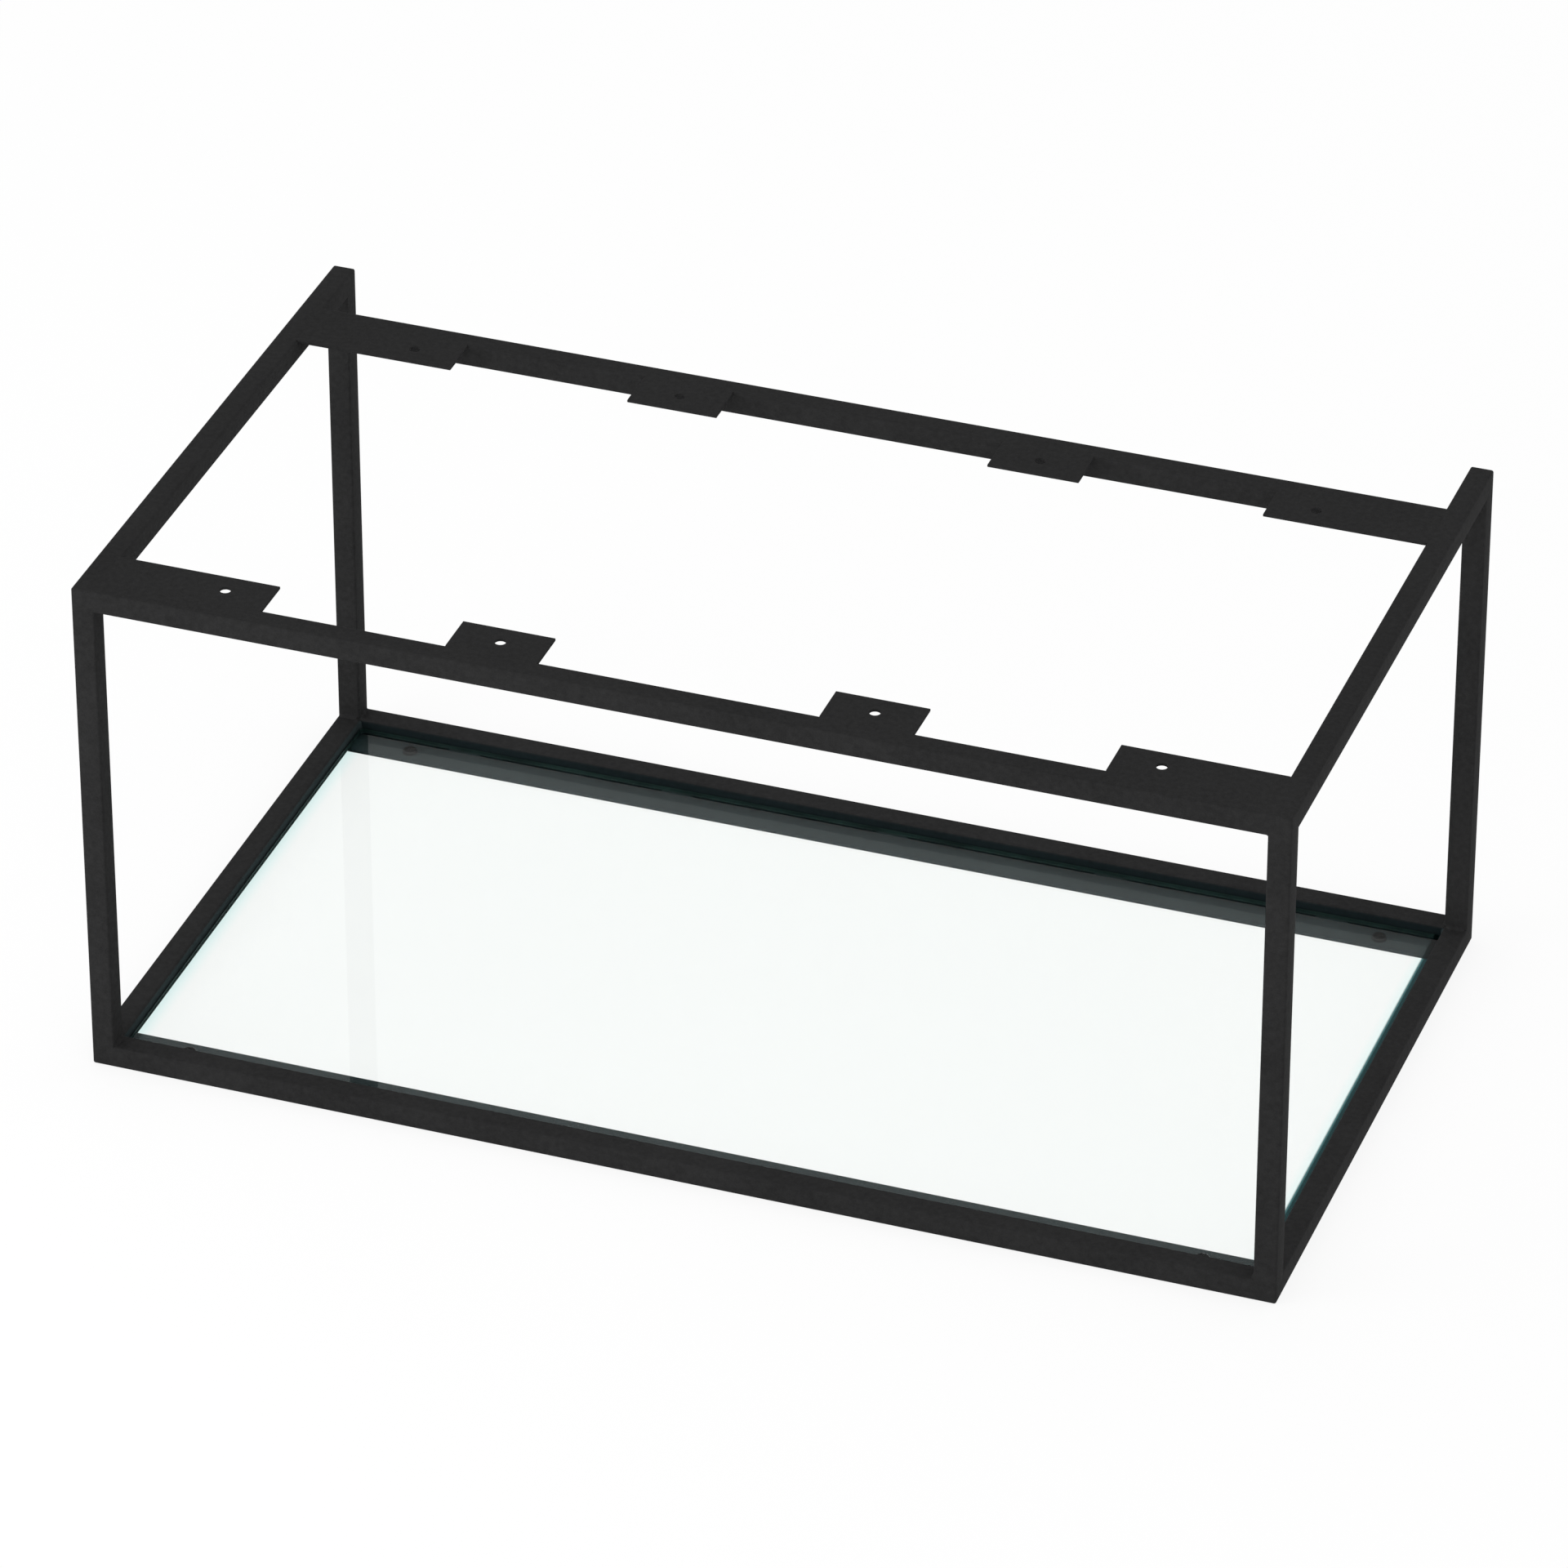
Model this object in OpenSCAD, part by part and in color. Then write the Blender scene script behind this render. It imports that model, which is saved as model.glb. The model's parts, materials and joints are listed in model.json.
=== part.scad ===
// Welded square-tube stand frame with screw tabs at the top and a glass shelf laid in at the bottom.
// Two side loops of mitred tube are joined by four cross rails that butt between them.
// X runs along the width, Y from the front (-) to the rear (+), Z up from the floor.
// The origin is at the middle of the footprint, on the floor.

/* [Frame] */
// Overall width, over the outer faces of the two side loops
frame_w = 780; // [600:10:1200]
// Overall depth, from the front face to the rear face
frame_d = 430; // [300:5:600]
// Overall height, from the floor to the top faces of the rails
frame_h = 350; // [150:5:900]
// Distance from the rear face of the frame forward to the rear face of the rear top rail
rear_rail_inset = 55; // [0:1:100]

/* [Tube] */
// Outer side of the square tube
tube = 15; // [12:1:25]
// Wall of the tube
tube_wall = 1.5; // [1:0.1:2]
// Outer corner radius of the tube
tube_r = 1.5; // [0.5:0.1:2]

/* [Screw tabs] */
// Thickness of the tab plate
tab_t = 2; // [2:0.5:4]
// Depth of a tab, from the rail that it is welded to
tab_d = 30; // [20:1:40]
// Width of a middle tab
middle_tab_w = 60; // [30:1:80]
// Distance from the middle of the frame to the middle of a middle tab
middle_tab_x = 120; // [50:1:130]
// Length of a corner tab, from the side rail inwards
corner_tab_l = 105; // [60:1:110]
// Distance from the inner end of a corner tab to its hole
corner_hole_inset = 30; // [12:1:40]
// Diameter of the screw holes
hole_d = 7; // [4:0.5:9]

/* [Glass ledges] */
// Width of the flat bar under the front and rear edges of the glass
ledge_w = 21; // [14:1:40]
// Thickness of that flat bar
ledge_t = 2; // [2:0.5:4]
// Diameter of a clear bumper pad
pad_d = 10; // [6:1:12]
// Thickness of a clear bumper pad
pad_t = 2; // [1:0.5:3]
// Distance from the end of a ledge to the middle of its pad
pad_inset = 40; // [10:5:100]

/* [Glass shelf] */
// Thickness of the glass
glass_t = 5; // [4:1:6]
// Gap between each edge of the glass and the rail beside it
glass_gap = 1; // [0.5:0.25:3]
// Radius of the four corners of the glass
glass_r = 3; // [1:0.5:10]
// Width of the ground arris along the edges of the glass
glass_arris = 0.5; // [0.2:0.1:1]

/* [Hidden] */
$fn = 48;
steel_black = "#2c2c2d";
clear_green = "#d9efe8";
clear_white = "#eef2f2";
end_trim = 1;
inner_w = frame_w - 2 * tube;
inner_d = frame_d - 2 * tube;
bore = tube - 2 * tube_wall;
bore_r = max(tube_r - tube_wall, 0.3);
front_y = -frame_d / 2 + tube / 2;
rear_y = frame_d / 2 - tube / 2;
rear_top_y = rear_y - rear_rail_inset;
top_z = frame_h - tube / 2;
bottom_z = tube / 2;
corner_tab_x = inner_w / 2 - corner_tab_l / 2;
corner_hole_x = inner_w / 2 - corner_tab_l + corner_hole_inset;
ledge_y = inner_d / 2 - ledge_w / 2;
glass_z = ledge_t + pad_t;
glass_w = inner_w - 2 * glass_gap;
glass_d = inner_d - 2 * glass_gap;

// ---- square tube ----

// Square with rounded corners, centred
module rounded_rect(w, d, r) {
    square([w, d - 2 * r], center = true);
    square([w - 2 * r, d], center = true);
    for (x = [-1, 1], y = [-1, 1])
        translate([x * (w / 2 - r), y * (d / 2 - r)]) circle(r);
}

// Tube along X, centred, with square ends
module straight_tube(length) {
    rotate([90, 0, 90])
        linear_extrude(length, center = true)
            difference() {
                rounded_rect(tube, tube, tube_r);
                rounded_rect(bore, bore, bore_r);
            }
}

// Tube along X, centred, with both ends cut at 45 degrees so that its upper face is the long one
module mitred_tube(length) {
    long = length / 2;
    short = length / 2 - tube;
    intersection() {
        straight_tube(length);
        rotate([90, 0, 0])
            linear_extrude(tube + 2 * end_trim, center = true)
                polygon([[-long, tube / 2], [long, tube / 2], [short, -tube / 2], [-short, -tube / 2]]);
    }
}

// ---- side loops: side is -1 on the left and 1 on the right, face is -1 in front and 1 at the rear ----

module post(side, face) {
    translate([side * (frame_w - tube) / 2, face * rear_y, frame_h / 2])
        rotate([0, -90, -90 * face]) mitred_tube(frame_h);
}

module side_top_rail(side) {
    translate([side * (frame_w - tube) / 2, 0, top_z])
        rotate([0, 0, 90]) mitred_tube(frame_d);
}

module side_bottom_rail(side) {
    translate([side * (frame_w - tube) / 2, 0, bottom_z])
        rotate([180, 0, 90]) mitred_tube(frame_d);
}

module front_left_post() color(steel_black) post(-1, -1);
module front_right_post() color(steel_black) post(1, -1);
module rear_left_post() color(steel_black) post(-1, 1);
module rear_right_post() color(steel_black) post(1, 1);
module left_top_rail() color(steel_black) side_top_rail(-1);
module right_top_rail() color(steel_black) side_top_rail(1);
module left_bottom_rail() color(steel_black) side_bottom_rail(-1);
module right_bottom_rail() color(steel_black) side_bottom_rail(1);

// ---- cross rails, butted between the side loops ----

module cross_rail(y, z) {
    translate([0, y, z]) straight_tube(inner_w);
}

module front_top_rail() color(steel_black) cross_rail(front_y, top_z);
module rear_top_rail() color(steel_black) cross_rail(rear_top_y, top_z);
module front_bottom_rail() color(steel_black) cross_rail(front_y, bottom_z);
module rear_bottom_rail() color(steel_black) cross_rail(rear_y, bottom_z);

// ---- screw tabs, flush with the top faces and welded to the inner face of their rail ----

// A plate of width w about x, with its hole at hole_x; face is the side of the frame that its rail is on
module tab(x, w, hole_x, face) {
    rail_face = face < 0 ? front_y + tube / 2 : rear_top_y - tube / 2;
    middle_y = rail_face - face * tab_d / 2;
    difference() {
        translate([x - w / 2, middle_y - tab_d / 2, frame_h - tab_t]) cube([w, tab_d, tab_t]);
        translate([hole_x, middle_y, frame_h - tab_t - 1]) cylinder(h = tab_t + 2, d = hole_d);
    }
}

module middle_tab(side, face) {
    tab(side * middle_tab_x, middle_tab_w, side * middle_tab_x, face);
}

module corner_tab(side, face) {
    tab(side * corner_tab_x, corner_tab_l, side * corner_hole_x, face);
}

module front_left_corner_tab() color(steel_black) corner_tab(-1, -1);
module front_right_corner_tab() color(steel_black) corner_tab(1, -1);
module rear_left_corner_tab() color(steel_black) corner_tab(-1, 1);
module rear_right_corner_tab() color(steel_black) corner_tab(1, 1);
module front_left_middle_tab() color(steel_black) middle_tab(-1, -1);
module front_right_middle_tab() color(steel_black) middle_tab(1, -1);
module rear_left_middle_tab() color(steel_black) middle_tab(-1, 1);
module rear_right_middle_tab() color(steel_black) middle_tab(1, 1);

// ---- what carries the glass ----

// Flat bar welded to the inner face of the front or rear bottom rail, flush with its underside
module ledge(face) {
    translate([-inner_w / 2, face * ledge_y - ledge_w / 2, 0]) cube([inner_w, ledge_w, ledge_t]);
}

module front_ledge() color(steel_black) ledge(-1);
module rear_ledge() color(steel_black) ledge(1);

// Clear bumpers stuck to the ledges, one near each corner
module ledge_pads() color(clear_white) {
    for (side = [-1, 1], face = [-1, 1])
        translate([side * (inner_w / 2 - pad_inset), face * ledge_y, ledge_t]) cylinder(h = pad_t, d = pad_d);
}

// ---- glass ----

// Outline of a pane edge-on: a bar of width w and height glass_t with its four edges ground off
module arris_profile(w) {
    outer = w / 2;
    face = w / 2 - glass_arris;
    polygon([
        [-face, 0], [face, 0], [outer, glass_arris], [outer, glass_t - glass_arris],
        [face, glass_t], [-face, glass_t], [-outer, glass_t - glass_arris], [-outer, glass_arris]
    ]);
}

module glass_shelf() color(clear_green) {
    translate([0, 0, glass_z])
        intersection() {
            linear_extrude(glass_t) rounded_rect(glass_w, glass_d, glass_r);
            rotate([90, 0, 0]) linear_extrude(glass_d, center = true) arris_profile(glass_w);
            rotate([90, 0, 90]) linear_extrude(glass_w, center = true) arris_profile(glass_d);
        }
}

front_left_post();
front_right_post();
rear_left_post();
rear_right_post();
left_top_rail();
right_top_rail();
left_bottom_rail();
right_bottom_rail();
front_top_rail();
rear_top_rail();
front_bottom_rail();
rear_bottom_rail();
front_left_corner_tab();
front_right_corner_tab();
rear_left_corner_tab();
rear_right_corner_tab();
front_left_middle_tab();
front_right_middle_tab();
rear_left_middle_tab();
rear_right_middle_tab();
front_ledge();
rear_ledge();
ledge_pads();
glass_shelf();
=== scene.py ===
import json
import math

import bpy
import numpy as np
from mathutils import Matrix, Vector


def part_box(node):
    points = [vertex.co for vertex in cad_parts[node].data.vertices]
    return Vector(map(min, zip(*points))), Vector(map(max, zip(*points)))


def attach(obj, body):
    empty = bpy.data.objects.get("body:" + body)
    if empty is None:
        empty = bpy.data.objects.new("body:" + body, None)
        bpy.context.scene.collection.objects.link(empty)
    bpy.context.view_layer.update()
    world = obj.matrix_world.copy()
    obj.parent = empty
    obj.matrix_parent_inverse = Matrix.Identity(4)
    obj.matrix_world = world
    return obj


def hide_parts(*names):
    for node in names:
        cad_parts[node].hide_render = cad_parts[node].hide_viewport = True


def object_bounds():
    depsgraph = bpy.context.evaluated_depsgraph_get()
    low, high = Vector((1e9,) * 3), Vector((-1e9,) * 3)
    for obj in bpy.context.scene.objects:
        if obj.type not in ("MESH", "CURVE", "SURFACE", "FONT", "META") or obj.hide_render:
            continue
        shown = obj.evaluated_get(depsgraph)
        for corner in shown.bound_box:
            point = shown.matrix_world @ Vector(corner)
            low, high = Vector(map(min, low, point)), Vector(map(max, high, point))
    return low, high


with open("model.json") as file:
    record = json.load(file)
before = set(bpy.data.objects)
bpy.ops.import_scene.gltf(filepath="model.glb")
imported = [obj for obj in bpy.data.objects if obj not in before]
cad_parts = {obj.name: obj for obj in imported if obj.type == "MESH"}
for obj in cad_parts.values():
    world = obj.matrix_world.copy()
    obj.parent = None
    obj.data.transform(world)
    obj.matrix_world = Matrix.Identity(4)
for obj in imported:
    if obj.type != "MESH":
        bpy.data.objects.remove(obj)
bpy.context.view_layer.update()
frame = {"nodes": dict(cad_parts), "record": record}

MM = 0.001

# ==== Side loops ====
# Each side of the frame is a closed loop of thin square steel tube, cut at 45 degrees and welded. The
# welds are ground flush outside and left as small beads in the inside corners. The whole frame is then
# powder coated in matt black, which leaves a fine grain with a slow ripple under it.

frame_low, frame_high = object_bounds()
frame_size = frame_high - frame_low
middle_z = (frame_low.z + frame_high.z) / 2
top_rail_low, top_rail_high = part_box("front_top_rail")
TUBE = top_rail_high.z - top_rail_low.z
TUBE_ROUND = 1.5 * MM
LOOP_CORNER = 1.5 * MM
# how far before the mitre a ring of points is put, so that the shading stays flat up to the cut
CUT_STEP = 0.2 * MM
SHARP_ANGLE = math.radians(35)
inner_x = frame_high.x - TUBE
inner_y = frame_high.y - TUBE
rail_top_z = frame_low.z + TUBE
rail_under_z = frame_high.z - TUBE

COAT_DARK = (0.0125, 0.0125, 0.0127, 1)
COAT_LIGHT = (0.0260, 0.0260, 0.0263, 1)
# painted light: green light from the glass painted near it, as a lit copy on the ledges and loops and a
# painted-shade copy on the cross rails; each is dark, light
PAINTED_GLASS_LIGHT_LIT = ((0.0180, 0.0250, 0.0265, 1), (0.0310, 0.0430, 0.0455, 1))
PAINTED_GLASS_LIGHT_SHADED = ((0.0050, 0.0090, 0.0100, 1), (0.0090, 0.0150, 0.0170, 1))
PAINTED_LIGHT_FADE = 2.5 * MM
WELL_SLACK = 0.1 * MM
COAT_SHINE = 0.05
COAT_ROUGH = (0.78, 0.90)
CLOUD_SIZE, CLOUD_SHARE = 60 * MM, 0.35
RIPPLE_SIZE, RIPPLE_SHARE = 3.5 * MM, 0.35
GRAIN_SIZE, GRAIN_SHARE = 0.8 * MM, 0.30
GRAIN_HEIGHT = 0.35
# strength and depth of the bump
COAT_RELIEF = (0.6, 0.15 * MM)
SEAM_WIDTH = 0.9 * MM
SEAM_HEIGHT = 1.2
NOISE_MIDDLE = (0.3, 0.7)


def add(tree, kind, inputs=None, **settings):
    """A node of that kind, with its settings and the values or links of its inputs."""
    made = tree.nodes.new(kind)
    for key, value in settings.items():
        setattr(made, key, value)
    for key, value in (inputs or {}).items():
        if isinstance(value, bpy.types.NodeSocket):
            tree.links.new(value, made.inputs[key])
        else:
            made.inputs[key].default_value = value
    return made


def sums(tree, operation, first, second=0.0):
    """The result of a Math node on two numbers or sockets."""
    return add(tree, "ShaderNodeMath", {0: first, 1: second}, operation=operation).outputs[0]


def noise(tree, where, size, detail=2.0):
    """Noise whose blotches are about size across, from 0 to 1."""
    made = add(tree, "ShaderNodeTexNoise", {"Vector": where, "Scale": 1 / size, "Detail": detail})
    return made.outputs["Fac"]


def ramp(tree, value, start, end, low=0.0, high=1.0, curve="LINEAR"):
    """A value that goes from low to high while the given value goes from start to end."""
    made = add(tree, "ShaderNodeMapRange", {"Value": value, "From Min": start, "From Max": end,
                                            "To Min": low, "To Max": high}, interpolation_type=curve)
    return made.outputs["Result"]


def spread(tree, value, low=0.0, high=1.0):
    """A noise value with its middle stretch spread over low to high."""
    return ramp(tree, value, *NOISE_MIDDLE, low, high)


def relief(tree, shader, height, strength, depth):
    """A bump of the shader's surface, of that strength and depth."""
    bump = add(tree, "ShaderNodeBump", {"Strength": strength, "Distance": depth, "Height": height})
    tree.links.new(bump.outputs[0], shader.inputs["Normal"])


def blend(tree, share, first, second):
    """A colour that goes from the first to the second as share goes from 0 to 1."""
    mix = add(tree, "ShaderNodeMix", data_type="RGBA")
    tree.links.new(share, mix.inputs["Factor"])
    colour_sockets = [socket for socket in mix.inputs if socket.type == "RGBA"]
    for socket, colour in zip(colour_sockets, (first, second)):
        if isinstance(colour, bpy.types.NodeSocket):
            tree.links.new(colour, socket)
        else:
            socket.default_value = colour
    return next(socket for socket in mix.outputs if socket.type == "RGBA")


def new_material(name):
    """An empty node material, its tree, its Principled shader and its Object coordinates."""
    made = bpy.data.materials.new(name)
    made.use_nodes = True
    tree = made.node_tree
    tree.nodes.clear()
    shader = add(tree, "ShaderNodeBsdfPrincipled")
    add(tree, "ShaderNodeOutputMaterial", {"Surface": shader.outputs[0]})
    where = add(tree, "ShaderNodeTexCoord").outputs["Object"]
    return made, tree, shader, where


def mitre_seam(tree, where):
    """How near a point is to a mitre of a side loop, from 0 to 1: a point's distance in from the front or
    rear face and its distance in from the top or bottom face are equal on the 45 degree cut."""
    split = add(tree, "ShaderNodeSeparateXYZ", {0: where})
    from_end = sums(tree, "SUBTRACT", frame_high.y, sums(tree, "ABSOLUTE", split.outputs["Y"]))
    height = sums(tree, "ABSOLUTE", sums(tree, "SUBTRACT", split.outputs["Z"], middle_z))
    from_flat = sums(tree, "SUBTRACT", frame_high.z - middle_z, height)
    apart = sums(tree, "ABSOLUTE", sums(tree, "SUBTRACT", from_end, from_flat))
    return ramp(tree, apart, 0.0, SEAM_WIDTH, 1.0, 0.0, "SMOOTHSTEP")


def painted_light_well(tree, where):
    """Where green light from the glass is painted: 1 on the ledges and on the faces that look into the well
    round the glass, and 0 outside it. It fades out just under the top of the rails."""
    split = add(tree, "ShaderNodeSeparateXYZ", {0: where})
    inside_x = sums(tree, "LESS_THAN", sums(tree, "ABSOLUTE", split.outputs["X"]), inner_x + WELL_SLACK)
    inside_y = sums(tree, "LESS_THAN", sums(tree, "ABSOLUTE", split.outputs["Y"]), inner_y + WELL_SLACK)
    low = ramp(tree, split.outputs["Z"], rail_top_z, rail_top_z - PAINTED_LIGHT_FADE)
    off_floor = sums(tree, "GREATER_THAN", split.outputs["Z"], frame_low.z + WELL_SLACK)
    return sums(tree, "MULTIPLY", sums(tree, "MULTIPLY", inside_x, inside_y),
                sums(tree, "MULTIPLY", low, off_floor))


def powder_coat(name, glass_light=PAINTED_GLASS_LIGHT_LIT, seams=False):
    """Matt black powder coat: clouds of slightly lighter black, a roughness that drifts with them, and a
    bump of fine grain over a slow ripple. In the well round the glass, green light from the glass's edges
    is painted into its colour, as a lit or a shaded copy. With seams, the ground mitres show as a faint
    line."""
    made, tree, shader, where = new_material(name)
    cloud = noise(tree, where, CLOUD_SIZE, 3.0)
    grain = noise(tree, where, GRAIN_SIZE)
    ripple = noise(tree, where, RIPPLE_SIZE)
    mottle = sums(tree, "ADD", sums(tree, "MULTIPLY", cloud, CLOUD_SHARE),
                  sums(tree, "MULTIPLY", ripple, RIPPLE_SHARE))
    speckle = spread(tree, sums(tree, "ADD", mottle, sums(tree, "MULTIPLY", grain, GRAIN_SHARE)))
    black = blend(tree, speckle, COAT_DARK, COAT_LIGHT)
    painted_green_light = blend(tree, speckle, *glass_light)
    # the coat's own black, and in the well painted green light from the glass
    tree.links.new(blend(tree, painted_light_well(tree, where), black, painted_green_light), shader.inputs["Base Color"])
    tree.links.new(spread(tree, cloud, *COAT_ROUGH), shader.inputs["Roughness"])
    height = sums(tree, "ADD", sums(tree, "MULTIPLY", grain, GRAIN_HEIGHT), ripple)
    if seams:
        height = sums(tree, "SUBTRACT", height,
                      sums(tree, "MULTIPLY", mitre_seam(tree, where), SEAM_HEIGHT))
    relief(tree, shader, height, *COAT_RELIEF)
    shader.inputs["Specular IOR Level"].default_value = COAT_SHINE
    return made


def closed_solid(rings, joined=False):
    """Points and faces of a solid given as rings of points: quads between neighbouring rings, and a flat
    face over each end or, where it is joined, quads from the last ring back to the first. The faces are
    turned over if the volume that they hold comes out negative."""
    count, around = rings.shape[:2]
    ring, spot = np.meshgrid(np.arange(count if joined else count - 1), np.arange(around), indexing="ij")
    here, above = ring * around, (ring + 1) % count * around
    after = (spot + 1) % around
    quads = np.stack([here + spot, here + after, above + after, above + spot], axis=-1).reshape(-1, 4)
    points = rings.reshape(-1, 3)
    a, b, c, d = np.moveaxis(points[quads] - points.mean(axis=0), 1, 0)
    volume = np.sum(a * np.cross(b, c)) + np.sum(a * np.cross(c, d))
    last = (count - 1) * around
    ends = [] if joined else [list(range(around))[::-1], list(range(last, last + around))]
    faces = quads.tolist() + ends
    return points, faces if volume > 0 else [face[::-1] for face in faces]


def piece(name, parts, material, body, replaces=()):
    """One object made of (points, faces) parts, riding on a body and taking its finish from a slot."""
    points, faces, count = [], [], 0
    for part_points, part_faces in parts:
        points.append(part_points)
        faces += [[count + i for i in face] for face in part_faces]
        count += len(part_points)
    mesh = bpy.data.meshes.new(name)
    mesh.from_pydata(np.concatenate(points).tolist(), [], faces)
    mesh.materials.append(material)
    mesh.polygons.foreach_set("use_smooth", np.ones(len(mesh.polygons), bool))
    mesh.set_sharp_from_angle(angle=SHARP_ANGLE)
    made = bpy.data.objects.new(name, mesh)
    bpy.context.scene.collection.objects.link(made)
    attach(made, body)
    if replaces:
        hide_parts(*replaces)
    return made


def rounded_square(half_a, half_b, ease, steps=6):
    """The outline of a rectangle whose four corners are quarter circles, as (a, b) pairs."""
    swing = np.linspace(0, math.pi / 2, steps)
    return np.concatenate([
        np.column_stack([sign_a * (half_a - ease) + ease * np.cos(swing + quarter * math.pi / 2),
                         sign_b * (half_b - ease) + ease * np.sin(swing + quarter * math.pi / 2)])
        for quarter, (sign_a, sign_b) in enumerate([(1, 1), (-1, 1), (-1, -1), (1, -1)])])


def mitred_tube(middle, along, outwards, length, steps=5):
    """One tube of a loop, its rounded square section carried along it. A fibre at depth d under the
    outer face runs straight. If d is less than the corner's radius R, it ends in an eighth of a circle
    of radius R - d about a centre that lies R in from both outer faces. A deeper fibre stops at the 45
    degree plane."""
    middle, along, outwards = (np.array(v, float) for v in (middle, along, outwards))
    sideways = np.cross(along, outwards)
    section = rounded_square(TUBE / 2, TUBE / 2, TUBE_ROUND)
    out, side = section[:, 0][None, :], section[:, 1][None, :]
    depth = TUBE / 2 - out
    turn = np.linspace(0, math.pi / 4, steps)[:, None]
    turning = np.maximum(LOOP_CORNER - depth, 0)
    stop = length / 2 - depth - CUT_STEP * (1 - turn / turn[-1])
    reach = np.where(turning > 0, length / 2 - LOOP_CORNER + turning * np.sin(turn), stop)
    lift = np.where(turning > 0, TUBE / 2 - LOOP_CORNER + turning * np.cos(turn), out)
    reach, lift = np.concatenate([-reach[::-1], reach]), np.concatenate([lift[::-1], lift])
    side = np.broadcast_to(side, reach.shape)
    return closed_solid(middle + reach[..., None] * along + lift[..., None] * outwards
                        + side[..., None] * sideways)


loop_coat = powder_coat("powder_coat_loops", seams=True)
for side, side_name in ((-1, "left"), (1, "right")):
    tube_x = side * (frame_high.x - TUBE / 2)
    for face, face_name in ((-1, "front"), (1, "rear")):
        tube_y = face * (frame_high.y - TUBE / 2)
        post = mitred_tube((tube_x, tube_y, middle_z), (0, 0, 1), (0, face, 0), frame_size.z)
        piece(f"{face_name}_{side_name}_post_tube", [post], loop_coat, "frame",
              [f"{face_name}_{side_name}_post"])
    for level, level_name in ((-1, "bottom"), (1, "top")):
        tube_z = middle_z + level * (frame_size.z - TUBE) / 2
        rail = mitred_tube((tube_x, 0, tube_z), (0, 1, 0), (0, 0, level), frame_size.y)
        piece(f"{side_name}_{level_name}_rail_tube", [rail], loop_coat, "frame",
              [f"{side_name}_{level_name}_rail"])

LOOP_BEAD = 2.0 * MM
BEAD_SETBACK = 1.2 * MM
BEAD_STEP = 0.3 * MM
BEAD_SINK = 0.4 * MM
BEAD_RIPPLE = 1.6 * MM
# how far a ripple swells and trails, how far the leg drifts and in what two waves, how blunt the ends
# are, and how far the section is from a chamfer towards a round
BEAD_SWELL = 0.10
BEAD_TRAIL = 0.8
BEAD_DRIFT = 0.05
DRIFT_WAVES = (7, 17)
BEAD_END = 0.02
BEAD_BLUNT = 6
BEAD_ROUND = 0.35


def bead(start, end, along_a, along_b, leg, seed):
    """One weld bead in the corner where two faces meet, as rings of points. At angle v the section's radius
    is the leg, part way between a flat chamfer, 1 / (cos v + sin v), and a round one. Along the run the leg
    swells and shrinks with each ripple's half circle, which trails in the middle of the bead, drifts a
    little, and falls to nearly nothing at both ends as a superellipse does. The back of the section is sunk
    in the corner."""
    start, end, along_a, along_b = (np.array(v, float) for v in (start, end, along_a, along_b))
    length = np.linalg.norm(end - start)
    share = np.linspace(BEAD_END, 1 - BEAD_END, max(int(length / BEAD_STEP), 24))
    u = (0.5 - 0.5 * np.cos(math.pi * share))[:, None]
    v = np.linspace(0, math.pi / 2, 9)[None, :]
    drift = np.random.default_rng(seed).normal(0, 1, 4)
    slow = drift[0] * np.sin(DRIFT_WAVES[0] * u + drift[1])
    quick = drift[2] * np.sin(DRIFT_WAVES[1] * u + drift[3])
    wander = 1 + BEAD_DRIFT * (slow + quick)
    phase = (u * length + BEAD_TRAIL * leg * np.sin(2 * v)) / BEAD_RIPPLE
    ripple = 1 + BEAD_SWELL * np.sqrt(1 - (2 * (phase % 1) - 1) ** 2)
    taper = (1 - np.abs(2 * u - 1) ** BEAD_BLUNT) ** 0.5
    section = BEAD_ROUND + (1 - BEAD_ROUND) / (np.cos(v) + np.sin(v))
    radius = leg * taper * wander * ripple * section
    centre = start + u[:, :, None] * (end - start)
    front = centre + (radius * np.cos(v))[:, :, None] * along_a + (radius * np.sin(v))[:, :, None] * along_b
    back = centre - BEAD_SINK * taper[:, :, None] * (along_a + along_b)
    return closed_solid(np.concatenate([front, back], axis=1))


weld_coat = powder_coat("powder_coat_welds")
corner_beads = []
for side in (-1, 1):
    for face in (-1, 1):
        for post_end, level in ((1, rail_top_z), (-1, rail_under_z)):
            corner_beads.append(bead(
                (side * (inner_x + BEAD_SETBACK), face * inner_y, level),
                (side * (frame_high.x - BEAD_SETBACK), face * inner_y, level),
                (0, -face, 0), (0, 0, post_end), LOOP_BEAD, len(corner_beads)))
piece("loop_corner_welds", corner_beads, weld_coat, "frame")

# ==== Cross rails ====
# Four straight lengths of the same tube are butted between the loops: front and rear at the bottom,
# front at the top, and a rear one set forward of the rear posts. Their outer joints are ground flush,
# and the joints that face inwards or down keep their fillet beads.

# the cross rails take the shaded copy of the painted green light from the glass
rail_coat_painted_shade = powder_coat("powder_coat_rails_painted_shade", PAINTED_GLASS_LIGHT_SHADED)
CROSS_RAILS = ["front_top_rail", "rear_top_rail", "front_bottom_rail", "rear_bottom_rail"]
for rail in CROSS_RAILS:
    frame["nodes"][rail].data.materials.clear()
    frame["nodes"][rail].data.materials.append(rail_coat_painted_shade)

# weld metal fills the groove that the tubes' round edges leave at a joint, and is ground level
FILL_LOW = 0.01 * MM
FILL_LAP = 0.2 * MM


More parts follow.
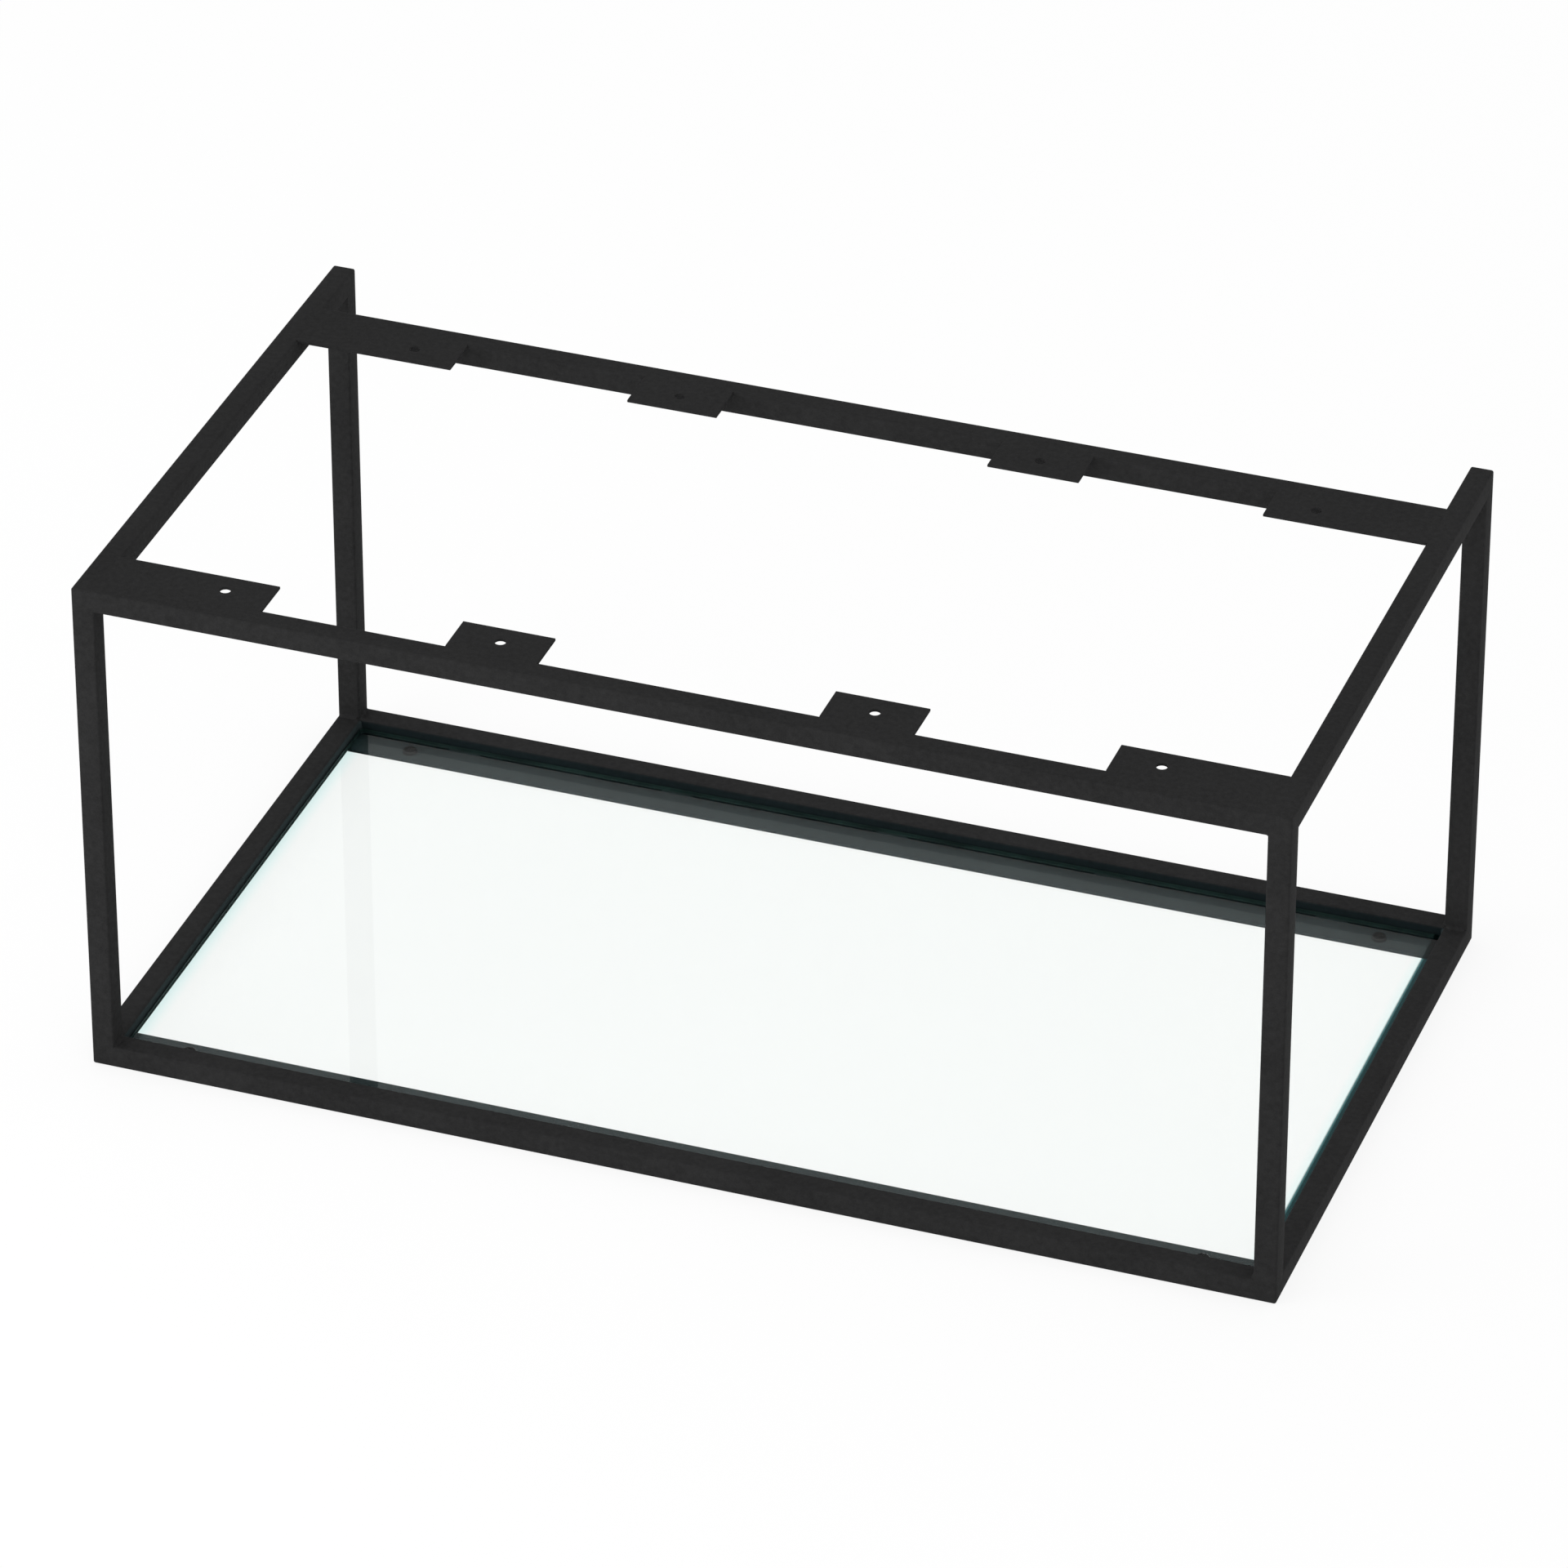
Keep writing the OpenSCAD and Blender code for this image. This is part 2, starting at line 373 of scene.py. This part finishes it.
def eased_bar(low, high, ease):
    """A bar along X between two corners. Its section is a rectangle whose corners are quarter circles
    of radius ease, and its two ends are flat."""
    section = rounded_square((high[1] - low[1]) / 2, (high[2] - low[2]) / 2, ease)
    ring = np.column_stack([np.zeros(len(section)), section[:, 0] + (low[1] + high[1]) / 2,
                            section[:, 1] + (low[2] + high[2]) / 2])
    return closed_solid(np.stack([ring + (low[0], 0, 0), ring + (high[0], 0, 0)]))


def between(x_span, y_span, z_span):
    """The low and the high corner of three spans, whichever way round each span is given."""
    spans = np.sort(np.array([x_span, y_span, z_span], float), axis=1)
    return spans[:, 0], spans[:, 1]


rail_fills = []
for rail in CROSS_RAILS:
    low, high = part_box(rail)
    for side in (-1, 1):
        corners = between((side * (inner_x - FILL_LAP), side * (inner_x + TUBE_ROUND + FILL_LAP)),
                          (low.y + FILL_LOW, high.y - FILL_LOW), (low.z + FILL_LOW, high.z - FILL_LOW))
        rail_fills.append(eased_bar(*corners, TUBE_ROUND))
piece("ground_rail_welds", rail_fills, rail_coat_painted_shade, "frame")

RAIL_BEAD = 1.7 * MM
RAIL_SEED = 20
tab_low_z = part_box("front_left_middle_tab")[0].z
rail_beads = []
for rail in CROSS_RAILS:
    low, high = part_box(rail)
    outwards = 1 if low.z > middle_z else -1
    near_z, far_z = (low.z, min(high.z, tab_low_z)) if outwards > 0 else (high.z, low.z)
    for side in (-1, 1):
        to_middle = (-side, 0, 0)
        rail_beads.append(bead(
            (side * inner_x, low.y + BEAD_SETBACK, near_z), (side * inner_x, high.y - BEAD_SETBACK, near_z),
            to_middle, (0, 0, -outwards), RAIL_BEAD, RAIL_SEED + len(rail_beads)))
        inward_faces = [high.y] if low.y < 0 and high.y < 0 else [low.y]
        if rail == "rear_top_rail":
            inward_faces.append(high.y)
        for y in inward_faces:
            away = 1 if y == high.y else -1
            rail_beads.append(bead(
                (side * inner_x, y, near_z + outwards * BEAD_SETBACK), (side * inner_x, y, far_z),
                to_middle, (0, away, 0), RAIL_BEAD, RAIL_SEED + len(rail_beads)))
piece("cross_rail_welds", rail_beads, weld_coat, "frame")

# ==== Screw tabs ====
# Eight tabs are laser-cut from plate, each with one round screw hole, and welded flush with the top of
# the front and rear top rails. The corner tabs are welded to the side rails as well. Cutting and coating
# leave their edges slightly eased.

tab_coat = powder_coat("powder_coat_plate")
EDGE_EASE = 0.35 * MM
# a ring of points this far inside each eased edge keeps the flat faces flat
HOLD = 0.08 * MM
HOLE_ROWS = {mount["name"]: mount["dims"] for mount in frame["record"]["mounts"]
             if mount["kind"] == "bolt_pattern"}
TAB_NODES = [f"{face}_{side}_{place}_tab" for place in ("corner", "middle")
             for face in ("front", "rear") for side in ("left", "right")]


def holed_plate(low, high, hole, hole_r, around=144):
    """A flat plate with one round hole, as one closed surface carried round the hole. At angle u a ray
    leaves the hole's middle, meets the hole's wall at hole_r and the plate's outline where the first of
    its four sides cuts the ray. v runs over the top face from hole to outline, round the eased edge, down
    the side, back under the plate and up the wall of the hole."""
    corners = np.array([[x, y] for x in (low.x, high.x) for y in (low.y, high.y)]) - hole
    u = np.sort(np.concatenate([np.linspace(0, 2 * math.pi, around, endpoint=False),
                                np.arctan2(corners[:, 1], corners[:, 0]) % (2 * math.pi)]))
    ray = np.stack([np.cos(u), np.sin(u)], axis=1)

    def outline(inset):
        beyond = np.array([high.x, high.y]) - inset - hole
        before = hole - np.array([low.x, low.y]) - inset
        room = np.where(ray > 0, beyond, before)
        return np.min(room / np.maximum(np.abs(ray), 1e-9), axis=1)

    def wall(outset):
        return np.full(len(u), hole_r + outset)

    eased = [(EDGE_EASE * (1 - math.sin(turn)), EDGE_EASE * (1 - math.cos(turn)))
             for turn in np.linspace(0, math.pi / 2, 4)]
    flat = EDGE_EASE + HOLD
    rings = [(outline(inset), high.z - drop) for inset, drop in eased]
    rings += [(outline(inset), low.z + drop) for inset, drop in eased[::-1]]
    rings += [(outline(flat), low.z), (wall(flat), low.z)]
    rings += [(wall(outset), low.z + drop) for outset, drop in eased]
    rings += [(wall(outset), high.z - drop) for outset, drop in eased[::-1]]
    rings += [(wall(flat), high.z), (outline(flat), high.z)]
    return closed_solid(np.stack([
        np.column_stack([hole[0] + r * ray[:, 0], hole[1] + r * ray[:, 1], np.full(len(u), z)])
        for r, z in rings]), joined=True)


TAB_BEAD = 2.2 * MM
TAB_SEED = 60
TAB_STITCH = 13 * MM
STITCH_PLACES = (0.22, 0.78)
FILL_DEPTH = 1 * MM
in_groove = TUBE_ROUND + FILL_LAP
in_plate = EDGE_EASE + FILL_LAP
tab_beads, tab_fills = [], []
for tab in TAB_NODES:
    low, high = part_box(tab)
    side = 1 if low.x > 0 else -1
    row = HOLE_ROWS["top_outer_holes" if "corner" in tab else "top_inner_holes"]
    hole = np.array([side * row["spacing_x_mm"] * MM / 2, (low.y + high.y) / 2])
    piece(tab + "_plate", [holed_plate(low, high, hole, row["hole_r_mm"] * MM)], tab_coat, "frame",
          [tab])
    # a front tab reaches back from its rail, and a rear one forward
    rail_y, away = (low.y, 1) if tab.startswith("front") else (high.y, -1)
    fill_z = (high.z - FILL_DEPTH, high.z - FILL_LOW)
    inner_end = min(abs(low.x), abs(high.x)) + EDGE_EASE
    outer_end = inner_x + in_groove if "corner" in tab else max(abs(low.x), abs(high.x)) - EDGE_EASE
    groove = between((side * inner_end, side * outer_end),
                     (rail_y - away * in_groove, rail_y + away * in_plate), fill_z)
    tab_fills.append(eased_bar(*groove, FILL_LOW))
    for share in STITCH_PLACES:
        middle = low.x + share * (high.x - low.x)
        tab_beads.append(bead(
            (middle - TAB_STITCH / 2, rail_y, low.z), (middle + TAB_STITCH / 2, rail_y, low.z),
            (0, away, 0), (0, 0, -1), TAB_BEAD, TAB_SEED + len(tab_beads)))
    if "corner" in tab:
        groove = between((side * (inner_x + in_groove), side * (inner_x - in_plate)),
                         (low.y + EDGE_EASE, high.y - EDGE_EASE), fill_z)
        tab_fills.append(eased_bar(*groove, FILL_LOW))
        middle = (low.y + high.y) / 2 + away * TAB_STITCH / 4
        tab_beads.append(bead(
            (side * inner_x, middle - TAB_STITCH / 2, low.z),
            (side * inner_x, middle + TAB_STITCH / 2, low.z),
            (-side, 0, 0), (0, 0, -1), TAB_BEAD, TAB_SEED + len(tab_beads)))
piece("tab_welds", tab_beads, weld_coat, "frame")
piece("ground_tab_welds", tab_fills, rail_coat_painted_shade, "frame")

# ==== Glass ledges ====
# A flat steel bar is stitch welded to the inner face of the front and of the rear bottom rail, flush
# with its underside, so that the long edges of the glass have something to lie on.

LEDGE_BEAD = 1.1 * MM
LEDGE_SEED = 90
LEDGE_STITCH = 22 * MM
LEDGE_STITCHES = 5
ledge_beads, ledge_fills = [], []
for ledge in ("front_ledge", "rear_ledge"):
    low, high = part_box(ledge)
    piece(ledge + "_bar", [eased_bar(low, high, EDGE_EASE)], tab_coat, "frame",
          [ledge])
    rail_y, away = (low.y, 1) if low.y < 0 else (high.y, -1)
    fill_z = (low.z + FILL_LOW, low.z + FILL_DEPTH)
    groove = between((low.x - in_groove, high.x + in_groove),
                     (rail_y - away * in_groove, rail_y + away * in_plate), fill_z)
    ledge_fills.append(eased_bar(*groove, FILL_LOW))
    for side in (-1, 1):
        groove = between((side * (inner_x + in_groove), side * (inner_x - FILL_LAP)),
                         (low.y + EDGE_EASE, high.y - EDGE_EASE), fill_z)
        ledge_fills.append(eased_bar(*groove, FILL_LOW))
    for middle in np.linspace(low.x, high.x, 2 * LEDGE_STITCHES + 1)[1::2]:
        ledge_beads.append(bead(
            (middle - LEDGE_STITCH / 2, rail_y, high.z), (middle + LEDGE_STITCH / 2, rail_y, high.z),
            (0, away, 0), (0, 0, 1), LEDGE_BEAD, LEDGE_SEED + len(ledge_beads)))
piece("ledge_welds", ledge_beads, weld_coat, "frame")
piece("ground_ledge_welds", ledge_fills, rail_coat_painted_shade, "frame")

# ==== Bumper pads ====
# A clear self-adhesive bumper near each corner keeps the glass off the steel. It is cast in soft
# polyurethane, with a flat foot, a slightly drawn-in side and a rounded upper edge.

PAD_ROUND = 0.7 * MM
PAD_DRAFT = 0.25 * MM
PAD_CLEAR = (0.80, 0.84, 0.82, 1)
PAD_SHINE = (0.8, 0.8, 0.8, 1)
PAD_ROUGH = (0.04, 0.12)
PAD_IOR = 1.4
PAD_CLOUD = 3 * MM
PAD_RELIEF = (0.1, 0.1 * MM)
PAD_TOP_SHARE = 0.9


def bumper(middle, foot_z, top_z, radius, around=48):
    """A pad turned about its own axis: a flat foot, a side that leans in by the draft, a quarter circle
    at the upper edge and a flat top."""
    quarter = np.linspace(0, math.pi / 2, 7)
    rim = radius - PAD_DRAFT - PAD_ROUND
    upper_edge = np.column_stack([rim + PAD_ROUND * np.cos(quarter),
                                  top_z - PAD_ROUND + PAD_ROUND * np.sin(quarter)])
    profile = np.concatenate([[[radius, foot_z]], upper_edge, [[rim * PAD_TOP_SHARE, top_z]]])
    turn = np.linspace(0, 2 * math.pi, around, endpoint=False)
    return closed_solid(np.stack([
        np.column_stack([middle[0] + r * np.cos(turn), middle[1] + r * np.sin(turn), np.full(around, z)])
        for r, z in profile]))


def clear_pad(name):
    """Clear soft plastic, faintly cloudy, with a surface that isn't quite smooth."""
    made, tree, shader, where = new_material(name)
    cloud = noise(tree, where, PAD_CLOUD)
    tree.links.new(spread(tree, cloud, *PAD_ROUGH), shader.inputs["Roughness"])
    relief(tree, shader, cloud, *PAD_RELIEF)
    shader.inputs["Base Color"].default_value = PAD_CLEAR
    shader.inputs["Transmission Weight"].default_value = 1.0
    shader.inputs["Specular Tint"].default_value = PAD_SHINE
    shader.inputs["IOR"].default_value = PAD_IOR
    return made


pads_low, pads_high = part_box("ledge_pads")
glass_low, glass_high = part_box("glass_shelf")
ledge_low, ledge_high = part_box("rear_ledge")
pad_radius = pads_high.y - (ledge_low.y + ledge_high.y) / 2
bumpers = [bumper((side * (pads_high.x - pad_radius), face * (pads_high.y - pad_radius)),
                  pads_low.z, pads_high.z, pad_radius) for side in (-1, 1) for face in (-1, 1)]
piece("bumper_pads", bumpers, clear_pad("clear_bumper"), "frame", ["ledge_pads"])

# ==== Glass shelf ====
# The shelf is a pane of clear float glass that lies loose on the pads. Its edges are ground flat with a
# narrow arris above and below, and its corners are rounded. Iron in the glass gives it a faint green.
# A greener band at both ends of the pane is painted light, and a deep green strip at its right end is
# painted shade.

GLASS_ARRIS = 0.5 * MM
GLASS_CORNER = 3 * MM
GLASS_FILTER = (0.30, 0.85, 0.60, 1)
GLASS_DENSITY = 5.0
GLASS_IOR = 1.2
GLASS_SHINE = (0.30, 0.34, 0.34, 1)
GLASS_CLEAR = (0.975, 0.980, 0.976, 1)
GLASS_WAVE = 180 * MM
GLASS_RELIEF = (0.05, 0.5 * MM)
# the width and colour of the painted light at both ends of the pane, and the colour of the painted shade at
# its right end
END_GLOW = 13 * MM
PAINTED_END_LIGHT = (0.80, 0.97, 0.96, 1)
PAINTED_END_SHADE = (0.005, 0.035, 0.038, 1)
# the painted shade is full within END_REST of the right end, and fades in over END_FADE before that
END_REST = 4.0 * MM
END_FADE = 1.4 * MM
GROUND_DARK = (0.006, 0.014, 0.013, 1)
GROUND_LIGHT = (0.012, 0.028, 0.025, 1)
GROUND_SHINE = 0.1
GROUND_ROUGH = (0.45, 0.60)
GROUND_CLOUD = 25 * MM
GROUND_MARKS = 0.3 * MM
GROUND_RELIEF = (0.2, 0.05 * MM)


def pane(low, high, corner_r, arris, around=12):
    """A pane: its outline is a rectangle with quarter circles of corner_r, and the section steps in by
    the arris at the top and the bottom. The two faces are flat polygons."""
    quarter = np.linspace(0, math.pi / 2, around)
    centre = np.array([[high.x, high.y], [low.x, high.y], [low.x, low.y], [high.x, low.y]])
    inward = np.array([[-1, -1], [1, -1], [1, 1], [-1, 1]])

    def outline(inset):
        return np.concatenate([centre[i] + corner_r * inward[i] + (corner_r - inset) * np.column_stack(
            [np.cos(quarter + i * math.pi / 2), np.sin(quarter + i * math.pi / 2)]) for i in range(4)])

    levels = [(arris, low.z), (0, low.z + arris), (0, high.z - arris), (arris, high.z)]
    return closed_solid(np.stack([
        np.column_stack([outline(inset), np.full(4 * around, z)]) for inset, z in levels]))


def float_glass(name):
    """Clear float glass: a smooth surface with a very slow waviness, and iron green in its depth. Both
    ends carry painted light as a greener tint, and the last few millimetres of the right end carry painted
    shade as a deep green."""
    made, tree, shader, where = new_material(name)
    relief(tree, shader, noise(tree, where, GLASS_WAVE, 1.0), *GLASS_RELIEF)
    along = add(tree, "ShaderNodeSeparateXYZ", {0: where}).outputs["X"]
    # painted light: a greener band at both ends of the pane
    painted_light_near_ends = ramp(tree, sums(tree, "ABSOLUTE", along), glass_high.x - END_GLOW, glass_high.x,
                    curve="SMOOTHSTEP")
    right_end = glass_high.x - END_REST
    # painted shade: a deep green strip at the right end
    painted_shade_at_right = ramp(tree, along, right_end - END_FADE, right_end, curve="SMOOTHSTEP")
    tint = blend(tree, painted_light_near_ends, GLASS_CLEAR, PAINTED_END_LIGHT)
    tree.links.new(blend(tree, painted_shade_at_right, tint, PAINTED_END_SHADE), shader.inputs["Base Color"])
    shader.inputs["Roughness"].default_value = 0.0
    shader.inputs["Transmission Weight"].default_value = 1.0
    shader.inputs["IOR"].default_value = GLASS_IOR
    shader.inputs["Specular Tint"].default_value = GLASS_SHINE
    depth = add(tree, "ShaderNodeVolumeAbsorption", {"Color": GLASS_FILTER, "Density": GLASS_DENSITY})
    output = next(n for n in tree.nodes if n.type == "OUTPUT_MATERIAL")
    tree.links.new(depth.outputs[0], output.inputs["Volume"])
    return made


def ground_edge(name):
    """The ground edge of the pane, where green light is trapped: a satin dark green with fine grinding
    marks."""
    made, tree, shader, where = new_material(name)
    cloud = spread(tree, noise(tree, where, GROUND_CLOUD))
    marks = noise(tree, where, GROUND_MARKS)
    tree.links.new(blend(tree, cloud, GROUND_DARK, GROUND_LIGHT), shader.inputs["Base Color"])
    tree.links.new(spread(tree, marks, *GROUND_ROUGH), shader.inputs["Roughness"])
    shader.inputs["Specular IOR Level"].default_value = GROUND_SHINE
    relief(tree, shader, marks, *GROUND_RELIEF)
    return made


shelf = piece("glass_pane", [pane(glass_low, glass_high, GLASS_CORNER, GLASS_ARRIS)],
              float_glass("float_glass"), "glass", ["glass_shelf"])
shelf.data.materials.append(ground_edge("ground_glass_edge"))
# the last two polygons are the pane's two faces, and the rest its edges
on_edge = np.ones(len(shelf.data.polygons), np.int32)
on_edge[-2:] = 0
shelf.data.polygons.foreach_set("material_index", on_edge)
shelf.visible_shadow = False

# ==== Camera, floor and light ====
# A long lens looks down on the frame from the front, a little from its right. The floor is plain and
# pale. The light comes evenly from all round, with one soft lamp low on the left and a weak one above.

VIEW_TURN = math.radians(19.64)
VIEW_HEIGHT = math.radians(32.373)
VIEW_DISTANCE = 5843.9 * MM
VIEW_SIDE = -3.54 * MM
VIEW_UP = -10.04 * MM
LENS = 213.83
SENSOR = 36
CLIP_END = 100

back = np.array([math.sin(VIEW_TURN) * math.cos(VIEW_HEIGHT), -math.cos(VIEW_TURN) * math.cos(VIEW_HEIGHT),
                 math.sin(VIEW_HEIGHT)])
right = np.array([math.cos(VIEW_TURN), math.sin(VIEW_TURN), 0])
up = np.cross(back, right)
lens = bpy.data.cameras.new("camera")
lens.lens = LENS
lens.sensor_width = SENSOR
lens.clip_end = CLIP_END
camera = bpy.data.objects.new("camera", lens)
bpy.context.scene.collection.objects.link(camera)
camera.location = np.array([0, 0, middle_z]) + VIEW_SIDE * right + VIEW_UP * up + VIEW_DISTANCE * back
camera.rotation_euler = (math.pi / 2 - VIEW_HEIGHT, 0, VIEW_TURN)
bpy.context.scene.camera = camera

FLOOR_HALF = 6.0
FLOOR_DROP = 0.2 * MM
FLOOR_WHITE = (0.95, 0.95, 0.95, 1)
FLOOR_GLOW = 0.85


def seen_directly(tree):
    """1 for rays that show what is behind the object: to the eye, off a gloss or through glass."""
    path = add(tree, "ShaderNodeLightPath")
    eye_or_gloss = sums(tree, "MAXIMUM", path.outputs["Is Camera Ray"], path.outputs["Is Glossy Ray"])
    return sums(tree, "MAXIMUM", eye_or_gloss, path.outputs["Is Transmission Ray"])


floor_material = bpy.data.materials.new("plain_floor")
floor_material.use_nodes = True
floor_tree = floor_material.node_tree
floor_tree.nodes.clear()
matt = add(floor_tree, "ShaderNodeBsdfDiffuse", {"Color": FLOOR_WHITE})
glow = add(floor_tree, "ShaderNodeEmission", {"Color": (1, 1, 1, 1), "Strength": 1.0})
glow_share = sums(floor_tree, "MULTIPLY", seen_directly(floor_tree), FLOOR_GLOW)
floor_mix = add(floor_tree, "ShaderNodeMixShader", {0: glow_share, 1: matt.outputs[0], 2: glow.outputs[0]})
add(floor_tree, "ShaderNodeOutputMaterial", {"Surface": floor_mix.outputs[0]})
floor_mesh = bpy.data.meshes.new("floor")
floor_mesh.from_pydata([(-FLOOR_HALF, -FLOOR_HALF, 0), (FLOOR_HALF, -FLOOR_HALF, 0),
                        (FLOOR_HALF, FLOOR_HALF, 0), (-FLOOR_HALF, FLOOR_HALF, 0)], [], [(0, 1, 2, 3)])
floor_mesh.materials.append(floor_material)
floor = bpy.data.objects.new("floor", floor_mesh)
floor.location.z = -FLOOR_DROP
bpy.context.scene.collection.objects.link(floor)

WALL_LIGHT = 1.22
CEILING_LIGHT = 0.8
world = bpy.data.worlds.new("room")
world.use_nodes = True
world_tree = world.node_tree
world_tree.nodes.clear()
direction = add(world_tree, "ShaderNodeTexCoord").outputs["Generated"]
height = add(world_tree, "ShaderNodeSeparateXYZ", {0: direction}).outputs["Z"]
strength = ramp(world_tree, height, 0.0, 1.0, WALL_LIGHT, CEILING_LIGHT)
room = add(world_tree, "ShaderNodeBackground", {"Color": (1, 1, 1, 1), "Strength": strength})
white = add(world_tree, "ShaderNodeBackground", {"Color": (1, 1, 1, 1), "Strength": 1.0})
world_mix = add(world_tree, "ShaderNodeMixShader",
                {0: seen_directly(world_tree), 1: room.outputs[0], 2: white.outputs[0]})
add(world_tree, "ShaderNodeOutputWorld", {"Surface": world_mix.outputs[0]})
bpy.context.scene.world = world


def soft_lamp(name, place, size, power):
    """A square lamp that looks at the middle of the frame."""
    data = bpy.data.lights.new(name, "AREA")
    data.size = size
    data.energy = power
    lamp = bpy.data.objects.new(name, data)
    lamp.location = place
    towards = np.array([0, 0, middle_z]) - np.array(place)
    tilt = math.acos(-towards[2] / np.linalg.norm(towards))
    lamp.rotation_euler = (tilt, 0, math.atan2(-towards[0], towards[1]))
    bpy.context.scene.collection.objects.link(lamp)


soft_lamp("lamp_left", place=(-1.8, -1.7, 0.5), size=1.4, power=28)
soft_lamp("lamp_right", place=(1.2, -2.6, 2.2), size=2.0, power=4)

bpy.context.scene.view_settings.view_transform = "Standard"
